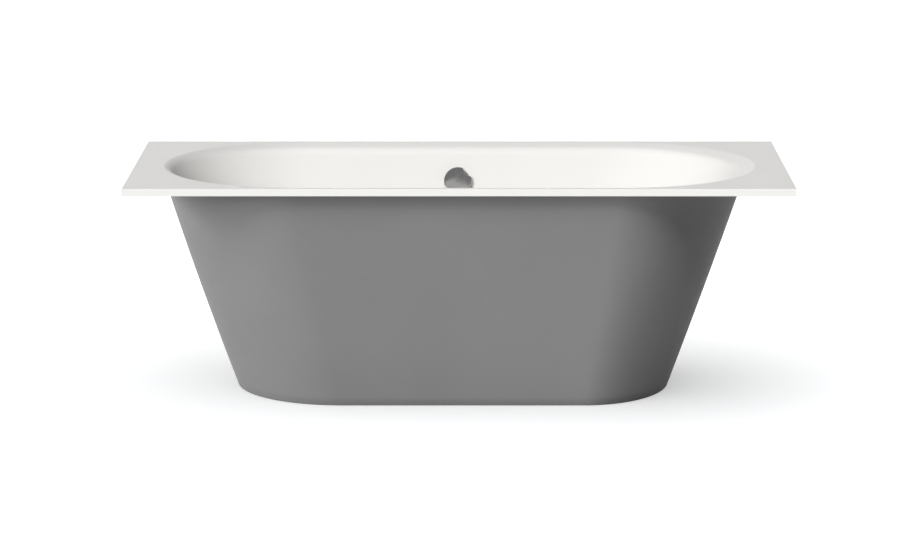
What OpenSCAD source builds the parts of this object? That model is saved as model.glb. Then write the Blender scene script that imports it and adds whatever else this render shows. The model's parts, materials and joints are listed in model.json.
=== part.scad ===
/* [Overall] */
// Length of the deck
deck_l = 1700; // [1600:10:1900]
// Width of the deck
deck_w = 750; // [720:10:850]
// Height from the floor to the deck's top face
tub_h = 583; // [570:1:620]
// Thickness of the deck
deck_t = 19; // [14:0.5:22]
// Width of the bevel along the deck's top edge
deck_bevel = 1.2; // [0.5:0.1:3]

/* [Bowl] */
// Deck left at each end of the opening
end_margin = 75; // [70:1:120]
// Deck left along each long side of the opening
side_margin = 14; // [13:1:30]
// Depth from the deck's top face to the edge of the bowl's floor
bowl_depth = 434; // [410:1:440]
// Fall of the bowl's floor from its edge to the waste
floor_fall = 6; // [3:0.5:10]
// Thickness of the bowl's wall
bowl_wall = 8; // [6:0.5:10]
// Thickness of the bowl's floor at the waste
floor_skin = 8; // [6:0.5:12]
// Radius of the bowl's edge at the deck
edge_r = 8; // [5:0.5:10]
// Fall of the shoulder under the edge, in degrees
shoulder_slope = 18; // [15:1:20]
// Length of the shoulder along the long sides
shoulder_side = 24; // [20:1:28]
// Length of the shoulder at the left end
shoulder_left = 2; // [1:1:10]
// Length of the shoulder at the right end
shoulder_right = 35; // [28:1:38]
// Radius between the shoulder and the wall
lip_r = 30; // [28:1:34]
// Lean of the long walls from upright, in degrees
side_slope = 10; // [8:0.5:11]
// Lean of the end walls from upright, in degrees
end_slope = 27; // [24:0.5:30]
// Radius between the long walls and the floor
side_fillet = 70; // [50:1:90]
// Radius between the end walls and the floor
end_fillet = 90; // [60:1:120]
// Length of the rounded end of the flat floor
floor_end = 190; // [150:5:220]

/* [Casing] */
// Deck overhang along each long side
casing_side_inset = 18; // [14:1:22]
// Deck overhang at the left end
casing_left_inset = 74; // [66:1:76]
// Deck overhang at the right end
casing_right_inset = 102; // [94:1:103]
// Thickness of the casing
casing_wall = 4; // [2.5:0.5:5]
// How far each long side draws in from the deck to the floor
side_taper = 75.5; // [60:0.5:80]
// How far the left end draws in from the deck to the floor
left_taper = 190; // [160:1:200]
// How far the right end draws in from the deck to the floor
right_taper = 197; // [165:1:205]
// Outward bulge of the left end halfway down
left_bulge = 4.5; // [0:0.5:8]
// Outward bulge of the right end halfway down
right_bulge = 2; // [0:0.5:6]
// How much blunter than a half circle the right end is at the deck
right_blunt_top = 12; // [0:1:20]
// How much blunter than a half circle the right end is at the floor
right_blunt_foot = 50; // [20:1:60]
// Width of the pipe notch in the back of the casing
notch_w = 100; // [80:1:120]
// Height of the pipe notch in the back of the casing
notch_h = 100; // [90:1:110]

/* [Casing fixings] */
// Distance from the outer brackets to where the casing's long sides stop being straight
bracket_end_gap = 43; // [30:1:80]
// Place of the inner brackets, as a share of the outer brackets' distance from the middle
bracket_share = 0.42; // [0.3:0.01:0.6]
// Width of a bracket
bracket_w = 36; // [30:1:40]
// Bracket leg that lies under the deck
bracket_top_leg = 18; // [16:0.5:19]
// Bracket leg that lies against the casing
bracket_side_leg = 34; // [30:1:45]
// Thickness of a bracket
bracket_t = 3; // [2:0.5:4]
// Radius of a bracket screw's shank
deck_screw_r = 2; // [1.5:0.25:2.5]
// Depth of a bracket screw in the deck
deck_screw_bite = 9; // [7:0.5:10]
// Radius of a casing stud
stud_r = 3; // [2.5:0.5:4]
// Length of a casing stud
stud_l = 14; // [12:1:16]
// Thickness of a casing nut
stud_nut_t = 5; // [4:0.5:6]

/* [Legs] */
// Distance of the left rail from the middle of the tub
rail_left_x = 330; // [280:5:340]
// Distance of the right rail from the middle of the tub
rail_right_x = 300; // [250:5:310]
// Length of a rail
rail_l = 470; // [440:5:480]
// Width of a rail
rail_w = 40; // [36:1:44]
// Height of a rail
rail_h = 30; // [26:1:32]
// Thickness of a rail's sheet
rail_t = 2.5; // [2:0.25:3]
// Distance of each foot from the tub's lengthwise middle line
foot_y = 205; // [195:5:210]
// Radius of a foot spindle
spindle_r = 6; // [5:0.5:7]
// Top of a foot spindle above the underside of the base board
spindle_rise = 2; // [0:0.5:4]
// Length of a rail nut
rail_nut_l = 25; // [20:1:27]
// Thickness of a lock nut
lock_nut_t = 8; // [6:0.5:10]
// Radius of a foot pad
pad_r = 25; // [22:1:28]
// Height of a foot pad
pad_h = 14; // [12:1:16]
// Thickness of the base board
board_t = 15; // [12:1:18]
// Distance that the board stays inside the flat of the floor
board_inset = 14; // [8:1:20]

/* [Overflow] */
// Place of the waste and the overflow along the tub
service_x = -5; // [-20:1:20]
// Depth of the overflow's centre under the deck's top face
overflow_depth = 98; // [96:1:110]
// Radius of the round holes in the bowl
bowl_hole_r = 26; // [25:0.5:27]
// Radius of the knob
knob_r = 38.25; // [36:0.25:42]
// Thickness of the knob
knob_t = 12; // [9:0.5:14]
// Gap behind the knob that lets the water in
knob_gap = 5; // [4:0.5:7]
// Depth of the knob's finger notches
notch_depth = 10.5; // [5:0.5:11]
// Half of the angle that one notch takes up
notch_half = 27; // [18:1:30]
// Angle of the first notch from the knob's right-hand side
notch_angle = 44; // [30:1:60]
// Fullness of the notches, from 1 for a plain arc to 2 for a smooth wave
notch_power = 1.2; // [1:0.1:2]
// Radius of the faceplate
faceplate_r = 33; // [31:0.5:35]
// Thickness of the faceplate
faceplate_t = 3; // [2:0.5:4]
// Outer radius of the faceplate's neck
neck_r = 20; // [18:0.5:21]
// Wall of the faceplate's neck
neck_wall = 3; // [2:0.5:3.5]
// Radius of the knob spindle
knob_spindle_r = 4; // [3:0.5:5]
// Radius of the overflow body
body_r = 30; // [29:0.5:31]
// Depth of the overflow body
body_depth = 25; // [24:0.5:26]
// Thickness of the rubber seals
seal_t = 2; // [1:0.25:2]
// Wall of the plastic fittings
fitting_wall = 3; // [2:0.5:3]
// Outer radius of the overflow pipe
pipe_r = 13.5; // [12.5:0.25:13.5]
// Wall of the overflow pipe
pipe_wall = 2.4; // [1.6:0.2:2.6]
// Radius of the overflow pipe's bend
pipe_bend = 50; // [40:1:60]
// Radius of the drum that pulls the cable
drum_r = 15; // [12:0.5:18]
// Radius of the cable
cable_r = 3; // [2:0.25:3]
// Distance of the cable beside the pipe's middle
cable_side = 20; // [18:0.5:22]
// Height over which the cable turns from the pipe towards the lever
cable_turn = 69; // [60:1:80]

/* [Waste] */
// Distance from the waste's middle to the back edge of the bowl's floor
waste_gap = 84.5; // [75:0.5:110]
// Radius of the waste flange
flange_r = 36; // [34:0.5:38]
// Thickness of the waste flange
flange_t = 2.5; // [2:0.25:3]
// Outer radius of the flange's throat
throat_r = 24; // [23:0.25:24.5]
// Wall of the flange's throat
throat_wall = 3; // [2:0.25:3]
// Length of the flange's throat
throat_l = 36; // [32:1:38]
// Outer radius of the waste body
waste_r = 30; // [29:0.5:31]
// Depth of the waste body under its rim
waste_depth = 56; // [54:0.5:58]
// Depth of the overflow inlet below the bowl's floor
inlet_drop = 42; // [40:0.5:43]
// Reach of the overflow inlet from the waste's middle
inlet_reach = 48; // [44:1:54]
// Radius of the plug's cap
cap_r = 33; // [31:0.5:34]
// Radius of the plug's stem
stem_r = 4; // [3:0.25:5]
// Travel of the plug
plug_lift = 12; // [8:0.5:13]
// Length of the lever's arm, which stops just past the middle of the waste
arm_l = 19; // [18.5:0.25:20]
// Length of the lever's crank
crank_l = 14; // [12:0.5:16]
// Radius of the lever's shaft
shaft_r = 3; // [2.5:0.25:3.5]
// Radius of the trap cup
cup_r = 42; // [38:1:45]
// Depth of the trap cup's bottom below the bowl's floor
cup_drop = 125; // [120:1:128]
// Radius of the trap's outlet spigot, where the drain pipe slides on
outlet_r = 20; // [16:0.5:25]
// Distance of the spigot's end from the waste's middle
outlet_reach = 150; // [130:1:155]
// Length of the spigot outside its stop collar
outlet_grip = 45; // [40:1:50]

/* [Hidden] */

// How finely the shells are divided: steps round each end, down the edge, the lip, the wall and the fillet
end_steps = 32;
edge_steps = 2;
lip_steps = 5;
wall_steps = 3;
fillet_steps = 6;
casing_levels = 7;
knob_steps = 96;

// Clearances: a running fit, a thread drawn plain, a sliding sleeve, and two parts that nearly touch
run_fit = 0.05;
thread_fit = 0.1;
sleeve_fit = 0.05;
near_gap = 0.3;
// How far a cutter runs past the face that it opens
cut = 1;
$fn = 48;

white = [0.95, 0.95, 0.94];
grey = [0.5, 0.5, 0.5];
chrome = [0.75, 0.75, 0.76];
zinc = [0.66, 0.68, 0.7];
black_rubber = [0.12, 0.12, 0.12];
pipe_grey = [0.85, 0.86, 0.86];
nylon = [0.25, 0.25, 0.26];
birch = [0.75, 0.6, 0.42];

// The bowl's opening at the deck's top face, and the places where its rounded ends begin
open_x = deck_l / 2 - end_margin;
open_y = deck_w / 2 - side_margin;
open_c = open_x - open_y;

// Points round a middle, at angles from straight up towards the bowl
function arc(middle, r, first, last, steps) =
  [for (i = [0:steps]) let (a = first + (last - first) * i / steps) middle + r * [-sin(a), cos(a)]];

// Middle of the lip's arc, under an edge and its shoulder
function lip_middle(edge, shoulder) = [
  edge + (lip_r - edge_r) * sin(shoulder_slope) - shoulder * cos(shoulder_slope),
  -edge_r - (lip_r - edge_r) * cos(shoulder_slope) - shoulder * sin(shoulder_slope)
];

// Lip, wall and fillet of the bowl, as [distance from the middle, height from the deck's top]
function section(middle, r, first, slope, fillet, depth) =
  let (
    lip = arc(middle, r, first, 90 - slope, lip_steps),
    top = lip[lip_steps],
    foot_z = -depth + fillet * (1 - sin(slope)),
    foot = [top[0] - (top[1] - foot_z) * tan(slope), foot_z],
    mid = [foot[0] - fillet * cos(slope), -depth + fillet]
  )
  concat(
    lip,
    [for (i = [1:wall_steps - 1]) top + (foot - top) * i / wall_steps],
    [for (i = [0:fillet_steps]) let (a = slope + (90 - slope) * i / fillet_steps)
      mid + fillet * [cos(a), -sin(a)]]
  );

// The bowl's face, from its edge at the deck down the shoulder to the lip
function inner(edge, shoulder, slope, fillet) = concat(
  arc([edge, -edge_r], edge_r, 0, shoulder_slope, edge_steps),
  section(lip_middle(edge, shoulder), lip_r, shoulder_slope, slope, fillet, bowl_depth)
);

board_z = -bowl_depth - floor_fall - floor_skin;

// The back of the wall starts where the lip's back meets the deck's underside
function outer(edge, shoulder, slope, fillet) =
  let (
    middle = lip_middle(edge, shoulder),
    r = lip_r - bowl_wall,
    met = acos(min((-deck_t - middle[1]) / r, 1))
  )
  section(middle, r, min(met, 0.98 * (90 - slope)), slope, fillet + bowl_wall, -board_z);

function final(list) = list[len(list) - 1];

side_in = inner(open_y, shoulder_side, side_slope, side_fillet);
left_in = inner(open_x, shoulder_left, end_slope, end_fillet);
right_in = inner(open_x, shoulder_right, end_slope, end_fillet);
side_out = outer(open_y, shoulder_side, side_slope, side_fillet);
left_out = outer(open_x, shoulder_left, end_slope, end_fillet);
right_out = outer(open_x, shoulder_right, end_slope, end_fillet);
waste_y = final(side_in)[0] - waste_gap;

// Where the rounded end of a bowl ring begins, from the distance of its tip
function end_start(tip, floor_tip) =
  let (share = (open_x - tip) / (open_x - floor_tip))
  open_c + (floor_tip - floor_end - open_c) * share;

// One level outline: rounded ends with their tips at left and right, joined by straight sides.
// left, right and side are [distance, height]; the height turns from the side's to the end's.
function end_point(a, tip, start, side) =
  let (w = cos(a) * cos(a))
  [start + (tip[0] - start) * cos(a), side[0] * sin(a), side[1] * (1 - w) + tip[1] * w];

function outline(left, right, side, left_start, right_start) = concat(
  [for (i = [0:end_steps]) end_point(-90 + 180 * i / end_steps, right, right_start, side)],
  [for (i = [0:end_steps]) let (p = end_point(-90 + 180 * i / end_steps, left, left_start, side))
    [-p[0], -p[1], p[2]]]
);

function bowl_ring(left, right, side) =
  outline(left, right, side,
    end_start(left[0], final(left_in)[0]), end_start(right[0], final(right_in)[0]));

// The deck's rectangle, with its points matched to those of the opening
function deck_end(a, x, y) =
  abs(a) <= 45 ? [x, y * tan(a)] : [open_c + (x - open_c) * cos(a) / sin(abs(a)), sign(a) * y];

function deck_ring(inset, z) =
  let (x = deck_l / 2 - inset, y = deck_w / 2 - inset)
  concat(
    [for (i = [0:end_steps]) let (p = deck_end(-90 + 180 * i / end_steps, x, y)) [p[0], p[1], z]],
    [for (i = [0:end_steps]) let (p = deck_end(-90 + 180 * i / end_steps, x, y)) [-p[0], -p[1], z]]
  );

// Triangles between neighbouring rings of n points
function skin(n, pairs) = [for (pair = pairs, i = [0:n - 1])
  let (a = pair[0] * n + i, b = pair[0] * n + (i + 1) % n,
    c = pair[1] * n + i, d = pair[1] * n + (i + 1) % n)
  each [[a, d, b], [a, c, d]]];

// A solid through a stack of rings, closed by a fan at each end
module loft(rings, first_point, last_point) {
  n = len(rings[0]);
  m = len(rings);
  polyhedron(
    points = concat([for (r = rings) each r], [first_point, last_point]),
    faces = concat(
      skin(n, [for (k = [0:m - 2]) [k, k + 1]]),
      [for (i = [0:n - 1]) [m * n, i, (i + 1) % n]],
      [for (i = [0:n - 1]) [m * n + 1, (m - 1) * n + (i + 1) % n, (m - 1) * n + i]]
    )
  );
}

// A wall that runs all the way round: the last ring joins the first
module wall_round(rings) {
  n = len(rings[0]);
  m = len(rings);
  polyhedron(
    points = [for (r = rings) each r],
    faces = skin(n, [for (k = [0:m - 1]) [k, (k + 1) % m]])
  );
}

module tube(outer_r, inner_r, h) {
  difference() {
    cylinder(r = outer_r, h = h);
    translate([0, 0, -cut]) cylinder(r = inner_r, h = h + 2 * cut);
  }
}

module hex_nut(corner_r, bore_r, h) {
  difference() {
    cylinder(r = corner_r, h = h, $fn = 6);
    translate([0, 0, -cut]) cylinder(r = bore_r, h = h + 2 * cut);
  }
}

// The waste's frame: at the bowl's floor, +Z up
waste_z = tub_h - bowl_depth - floor_fall;
module at_waste() {
  translate([service_x, waste_y, waste_z]) children();
}

// The overflow's frame: on the inner face of the back wall, +Z into the bowl, +Y up the wall
side_top = side_in[edge_steps + 1 + lip_steps];
overflow_y = side_top[0] - (side_top[1] + overflow_depth) * tan(side_slope);
overflow_z = tub_h - overflow_depth;
module at_overflow() {
  translate([service_x, overflow_y, overflow_z]) rotate([90 - side_slope, 0, 0]) children();
}

// Seats and levels of the waste, in its own frame
seat_z = -flange_t - seal_t;
rim_z = -floor_skin - seal_t;
seat_gap = 0.5;

module basin() {
  rings = concat(
    [for (k = [len(side_out) - 1:-1:0]) bowl_ring(left_out[k], right_out[k], side_out[k])],
    [deck_ring(0, -deck_t), deck_ring(0, -deck_bevel), deck_ring(deck_bevel, 0)],
    [for (k = [0:len(side_in) - 1]) bowl_ring(left_in[k], right_in[k], side_in[k])]
  );
  low = [service_x, waste_y, -bowl_depth - floor_fall];
  under = [service_x, waste_y, board_z];
  color(white) difference() {
    translate([0, 0, tub_h]) loft(rings, under, low);
    at_waste() translate([0, 0, -floor_skin - cut]) cylinder(r = bowl_hole_r, h = floor_skin + 2 * cut);
    at_waste() translate([0, 0, seat_z]) cylinder(r = flange_r + seat_gap, h = 2 * floor_fall - seat_z);
    at_overflow() translate([0, 0, -bowl_wall - cut]) cylinder(r = bowl_hole_r, h = bowl_wall + 2 * cut);
  }
}

// The casing's outer outline at a share t of the way down, drawn in by inset
function casing_side(t) = deck_w / 2 - casing_side_inset - side_taper * t;
function casing_left(t) =
  deck_l / 2 - casing_left_inset - left_taper * t + left_bulge * 4 * t * (1 - t);
function casing_right(t) =
  deck_l / 2 - casing_right_inset - right_taper * t + right_bulge * 4 * t * (1 - t);
function casing_ring(t, inset) =
  let (
    z = (tub_h - deck_t) * (1 - t),
    blunt = right_blunt_top + (right_blunt_foot - right_blunt_top) * t
  )
  outline([casing_left(t) - inset, z], [casing_right(t) - inset, z], [casing_side(t) - inset, z],
    casing_left(t) - casing_side(t), casing_right(t) - casing_side(t) + blunt);

module outer_casing() {
  rings = concat(
    [for (i = [0:casing_levels]) casing_ring(i / casing_levels, casing_wall)],
    [for (i = [casing_levels:-1:0]) casing_ring(i / casing_levels, 0)]
  );
  arch_r = notch_w / 2;
  color(grey) difference() {
    wall_round(rings);
    translate([service_x - notch_w / 2, 0, -cut]) cube([notch_w, deck_w, notch_h - arch_r + cut]);
    translate([service_x, 0, notch_h - arch_r]) rotate([-90, 0, 0]) cylinder(r = arch_r, h = deck_w);
  }
}

// The board follows the flat of the bowl's underside
board_left = final(left_out)[0] - board_inset;
board_right = final(right_out)[0] - board_inset;
board_side = final(side_out)[0] - board_inset;
board_under = tub_h + board_z - board_t;
board_hole_r = flange_r + 10;

module base_board() {
  ring = outline([board_left, 0], [board_right, 0], [board_side, 0],
    board_left - board_side, board_right - board_side);
  color(birch) difference() {
    translate([0, 0, board_under]) linear_extrude(board_t) polygon([for (p = ring) [p[0], p[1]]]);
    translate([service_x, waste_y, board_under - cut]) cylinder(r = board_hole_r, h = board_t + 2 * cut);
  }
}

// Places of the brackets along the tub, and the casing's inner face behind them
straight_end = min(casing_left(0), casing_right(0) + right_blunt_top) - casing_side(0);
bracket_outer_x = straight_end - bracket_end_gap;
bracket_xs = [for (share = [-1, -bracket_share, bracket_share, 1]) share * bracket_outer_x];
casing_lean = atan(side_taper / (tub_h - deck_t));
casing_face_y = casing_side(0) - casing_wall;
deck_under = tub_h - deck_t;
stud_drop = bracket_side_leg * 0.6;

module at_brackets() {
  for (side = [0, 1], x = bracket_xs) mirror([0, side, 0]) translate([x, 0, 0]) children();
}

module at_studs() {
  at_brackets()
    translate([0, casing_face_y - stud_drop * tan(casing_lean), deck_under - stud_drop])
      rotate([90 - casing_lean, 0, 0]) children();
}

module casing_brackets() {
  lean = tan(casing_lean);
  face = casing_face_y;
  back = face - bracket_t / cos(casing_lean);
  top = deck_under;
  leg_end = top - bracket_side_leg;
  shape = [
    [face, top], [face - bracket_top_leg, top], [face - bracket_top_leg, top - bracket_t],
    [back - bracket_t * lean, top - bracket_t],
    [back - bracket_side_leg * lean, leg_end], [face - bracket_side_leg * lean, leg_end]
  ];
  color(zinc) difference() {
    at_brackets() rotate([90, 0, 90]) linear_extrude(bracket_w, center = true) polygon(shape);
    at_brackets() translate([0, deck_screw_y, deck_under - bracket_t - cut])
      cylinder(r = deck_screw_r + near_gap, h = bracket_t + 2 * cut);
    at_studs() translate([0, 0, -cut]) cylinder(r = stud_r + near_gap, h = stud_l);
  }
}

deck_screw_y = casing_face_y - bracket_top_leg * 0.62;

module bracket_screws() {
  head_h = deck_screw_r * 1.2;
  color(zinc) at_brackets() translate([0, deck_screw_y, deck_under - bracket_t - head_h]) {
    cylinder(r = deck_screw_r * 2, h = head_h);
    cylinder(r = deck_screw_r, h = head_h + bracket_t + deck_screw_bite);
  }
}

module casing_studs() {
  color(zinc) at_studs() cylinder(r = stud_r, h = stud_l);
}

module casing_nuts() {
  color(zinc) at_studs() translate([0, 0, bracket_t])
    hex_nut(stud_r * 1.92, stud_r + run_fit, stud_nut_t);
}

module leg_rail(x) {
  z = board_under;
  shape = [
    [-rail_w / 2, -rail_h], [-rail_w / 2, 0], [rail_w / 2, 0], [rail_w / 2, -rail_h],
    [rail_w / 2 - rail_t, -rail_h], [rail_w / 2 - rail_t, -rail_t],
    [-rail_w / 2 + rail_t, -rail_t], [-rail_w / 2 + rail_t, -rail_h]
  ];
  color(zinc) difference() {
    translate([x, 0, z]) rotate([90, 0, 0]) linear_extrude(rail_l, center = true) polygon(shape);
    for (y = [-foot_y, foot_y]) translate([x, y, z - rail_t - cut])
      cylinder(r = spindle_r + near_gap, h = rail_t + 2 * cut);
    for (y = rail_screw_ys) translate([x, y, z - rail_t - cut])
      cylinder(r = rail_screw_r + near_gap, h = rail_t + 2 * cut);
  }
}

rail_screw_r = 2.5;
rail_screw_bite = 11;
rail_screw_ys = [-board_side * 0.7, 0, board_side * 0.7];
rail_xs = [-rail_left_x, rail_right_x];
rail_web_z = board_under - rail_t;

module leg_rail_left() { leg_rail(-rail_left_x); }
module leg_rail_right() { leg_rail(rail_right_x); }

module rail_screws() {
  head_h = rail_screw_r;
  color(zinc) for (x = rail_xs, y = rail_screw_ys) translate([x, y, rail_web_z - head_h]) {
    cylinder(r = rail_screw_r * 2, h = head_h);
    cylinder(r = rail_screw_r, h = head_h + rail_t + rail_screw_bite);
  }
}

module at_feet() {
  for (x = rail_xs, y = [-foot_y, foot_y]) translate([x, y, 0]) children();
}

nut_r = spindle_r * 1.75;

module rail_nuts() {
  color(zinc) at_feet() translate([0, 0, rail_web_z - rail_nut_l])
    hex_nut(nut_r, spindle_r + thread_fit, rail_nut_l);
}

module lock_nuts() {
  color(zinc) at_feet() translate([0, 0, rail_web_z - rail_nut_l - lock_nut_t])
    hex_nut(nut_r, spindle_r + thread_fit, lock_nut_t);
}

// The spindle's lower end sits in a socket in the pad, with its key flats just above
socket_r = spindle_r + 2;
socket_floor = pad_h * 0.4;
key_h = lock_nut_t * 0.75;

module foot_spindle(x, y) {
  color(zinc) translate([x, y, socket_floor]) {
    cylinder(r = spindle_r, h = board_under + spindle_rise - socket_floor);
    cylinder(r = socket_r, h = pad_h - socket_floor);
    translate([0, 0, pad_h - socket_floor]) cylinder(r = nut_r, h = key_h, $fn = 6);
  }
}

module foot_pad(x, y) {
  rim_h = socket_floor;
  color(black_rubber) translate([x, y, 0]) difference() {
    rotate_extrude() polygon([
      [0, 0], [pad_r - 1, 0], [pad_r, 1], [pad_r, rim_h], [socket_r + 4, pad_h], [0, pad_h]
    ]);
    translate([0, 0, socket_floor]) cylinder(r = socket_r, h = pad_h);
  }
}

module foot_spindle_fl() { foot_spindle(-rail_left_x, -foot_y); }
module foot_spindle_fr() { foot_spindle(rail_right_x, -foot_y); }
module foot_spindle_bl() { foot_spindle(-rail_left_x, foot_y); }
module foot_spindle_br() { foot_spindle(rail_right_x, foot_y); }
module foot_pad_fl() { foot_pad(-rail_left_x, -foot_y); }
module foot_pad_fr() { foot_pad(rail_right_x, -foot_y); }
module foot_pad_bl() { foot_pad(-rail_left_x, foot_y); }
module foot_pad_br() { foot_pad(rail_right_x, foot_y); }

// Levels of the overflow, in its own frame
plate_z = seal_t;
knob_z = plate_z + faceplate_t + knob_gap;
body_top = -bowl_wall - seal_t;
body_back = body_top - body_depth;
neck_foot = body_top - fitting_wall - 5;
spindle_foot = body_back + fitting_wall + 2;
spindle_top = knob_z + knob_t * 0.6;
drum_t = 4;
hub_r = knob_spindle_r + 3;

// The knob's radius at angle a: round, with two smooth finger notches opposite each other
function notch_share(a) =
  let (off = abs((a - notch_angle + 450) % 180 - 90))
  off < notch_half ? pow(cos(90 * off / notch_half), notch_power) : 0;
function knob_radius(a) = knob_r - notch_depth * notch_share(a);
function knob_ring(inset, z) = [for (i = [0:knob_steps - 1]) let (a = 360 * i / knob_steps)
  [(knob_radius(a) - inset) * cos(a), (knob_radius(a) - inset) * sin(a), z]];

module overflow_knob() {
  face = knob_z + knob_t;
  rings = [
    knob_ring(1.2, knob_z), knob_ring(0, knob_z + 1.2), knob_ring(0, face - 2),
    knob_ring(0.4, face - 0.9), knob_ring(1.2, face - 0.25), knob_ring(2.4, face)
  ];
  color(chrome) at_overflow() difference() {
    loft(rings, [0, 0, knob_z], [0, 0, face]);
    translate([0, 0, knob_z - cut]) cylinder(r = knob_spindle_r, h = spindle_top - knob_z + cut);
  }
}

module knob_spindle() {
  color(zinc) at_overflow() {
    translate([0, 0, spindle_foot]) cylinder(r = knob_spindle_r, h = spindle_top - spindle_foot);
    translate([0, 0, plate_z + faceplate_t + near_gap]) cylinder(r = hub_r, h = knob_gap - near_gap);
  }
}

module cable_drum() {
  color(nylon) at_overflow() translate([0, 0, spindle_foot]) difference() {
    rotate_extrude() polygon([
      [0, 0], [drum_r, 0], [drum_r, 1], [drum_r - 2, drum_t / 2], [drum_r, drum_t - 1],
      [drum_r, drum_t], [0, drum_t]
    ]);
    translate([0, 0, -cut]) cylinder(r = knob_spindle_r, h = drum_t + 2 * cut);
  }
}

// A ring with a hub held by spokes
module spoked_hub(ring_r, spoke_t, spoke_w, bore_r, count) {
  difference() {
    union() {
      cylinder(r = hub_r, h = spoke_t);
      for (i = [0:count - 1]) rotate([0, 0, 360 * i / count])
        translate([0, -spoke_w / 2, 0]) cube([ring_r, spoke_w, spoke_t]);
    }
    translate([0, 0, -cut]) cylinder(r = bore_r, h = spoke_t + 2 * cut);
  }
}

spoke_w = 5;
spoke_inset = 0.5;
module overflow_faceplate() {
  bore = neck_r - neck_wall;
  front = plate_z + faceplate_t;
  color(chrome) at_overflow() {
    difference() {
      union() {
        translate([0, 0, plate_z]) cylinder(r = faceplate_r, h = faceplate_t);
        translate([0, 0, neck_foot]) cylinder(r = neck_r, h = front - spoke_inset - neck_foot);
      }
      translate([0, 0, neck_foot - cut]) cylinder(r = bore, h = front - neck_foot + 2 * cut);
    }
    translate([0, 0, plate_z + spoke_inset])
      spoked_hub(bore + 1, faceplate_t - 2 * spoke_inset, spoke_w, knob_spindle_r + run_fit, 3);
  }
}

module overflow_face_seal() {
  color(black_rubber) at_overflow() tube(faceplate_r - 1, bowl_hole_r - 1, seal_t);
}

module overflow_back_seal() {
  color(black_rubber) at_overflow() translate([0, 0, body_top]) tube(body_r, neck_r + 1, seal_t);
}

// The pipe's middle line: down along the wall, round the bend, then level into the waste body
pipe_set = bowl_wall + seal_t + pipe_r + 0.5;
spigot_r = pipe_r - pipe_wall;
pipe_top = [overflow_y + pipe_set * cos(side_slope), overflow_z - pipe_set * sin(side_slope)];
inlet_z = waste_z - inlet_drop;
pipe_run = (pipe_top[1] - inlet_z) / cos(side_slope);
pipe_corner = pipe_top[0] - pipe_run * sin(side_slope);
bend_back = pipe_bend * tan((90 - side_slope) / 2);
inlet_end = waste_y + inlet_reach;
spigot_l = 20;
socket_l = 18;

// The pipe's frame: at its top, with +Z down along the pipe
module down_pipe() {
  translate([service_x, pipe_top[0], pipe_top[1]]) rotate([180 - side_slope, 0, 0]) children();
}

// The cable starts at a boss that stands out this far under the overflow body
cable_boss = 4;

module overflow_body() {
  root = 6;
  color(pipe_grey) difference() {
    union() {
      at_overflow() translate([0, 0, body_back]) cylinder(r = body_r, h = body_depth);
      down_pipe() translate([0, 0, body_r - root])
        cylinder(r = spigot_r - sleeve_fit, h = spigot_l + root);
      at_overflow() translate([cable_side, 0, -pipe_set]) rotate([90, 0, 0])
        cylinder(r = cable_r + 1.5, h = body_r + cable_boss);
    }
    at_overflow() translate([0, 0, body_back + fitting_wall])
      cylinder(r = body_r - fitting_wall, h = body_depth - 2 * fitting_wall);
    at_overflow() translate([0, 0, body_top - fitting_wall - cut])
      cylinder(r = neck_r + run_fit, h = fitting_wall + 2 * cut);
    down_pipe() translate([0, 0, body_r - root - 2])
      cylinder(r = spigot_r - 2, h = spigot_l + root + 4);
  }
}

pipe_first = body_r + near_gap;
pipe_last = pipe_run - bend_back;
tail_first = inlet_end - socket_l + near_gap;
tail_last = pipe_corner - bend_back;
collar_over = 4;

module overflow_pipe() {
  color(pipe_grey) down_pipe() translate([0, 0, pipe_first])
    tube(pipe_r, spigot_r, pipe_last - pipe_first);
}

module pipe_tail() {
  color(pipe_grey) translate([service_x, tail_first, inlet_z]) rotate([-90, 0, 0])
    tube(pipe_r, spigot_r, tail_last - tail_first);
}

module bend(r) {
  translate([service_x, tail_last, inlet_z + pipe_bend]) rotate([0, 90, 0])
    rotate_extrude(angle = 90 - side_slope) translate([pipe_bend, 0]) circle(r = r);
}

module pipe_elbow() {
  grip_r = pipe_r + fitting_wall;
  color(pipe_grey) difference() {
    union() {
      bend(pipe_r);
      down_pipe() translate([0, 0, pipe_last - socket_l])
        cylinder(r = grip_r, h = socket_l + collar_over);
      translate([service_x, tail_last - socket_l, inlet_z]) rotate([-90, 0, 0])
        cylinder(r = grip_r, h = socket_l + collar_over);
    }
    bend(spigot_r);
    down_pipe() translate([0, 0, pipe_last - socket_l - cut])
      cylinder(r = pipe_r + sleeve_fit, h = socket_l + cut);
    translate([service_x, tail_last - socket_l - cut, inlet_z]) rotate([-90, 0, 0])
      cylinder(r = pipe_r + sleeve_fit, h = socket_l + cut);
  }
}

// Slip nuts at the pipe's two ends
nut_wall = 2.4;
nut_l = 16;
module pipe_nut_top() {
  color(nylon) down_pipe() translate([0, 0, pipe_first + 3.7])
    tube(pipe_r + nut_wall, pipe_r + sleeve_fit, nut_l);
}

inlet_r = pipe_r + fitting_wall;
module pipe_nut_bottom() {
  color(nylon) translate([service_x, inlet_end + near_gap, inlet_z]) rotate([-90, 0, 0])
    tube(inlet_r + 2, pipe_r + sleeve_fit, nut_l * 0.8);
}

module waste_flange() {
  bore = throat_r - throat_wall;
  hub_z = -throat_l * 0.66;
  guide_h = 5;
  color(chrome) at_waste() {
    translate([0, 0, -flange_t]) tube(flange_r, bore, flange_t);
    translate([0, 0, -throat_l]) tube(throat_r, bore, throat_l - flange_t);
    translate([0, 0, hub_z]) spoked_hub(bore + 1, guide_h, spoke_w - 1, stem_r + run_fit, 3);
  }
}

module waste_top_seal() {
  color(black_rubber) at_waste() translate([0, 0, seat_z]) tube(flange_r - 1, bowl_hole_r + 0.5, seal_t);
}

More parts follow.
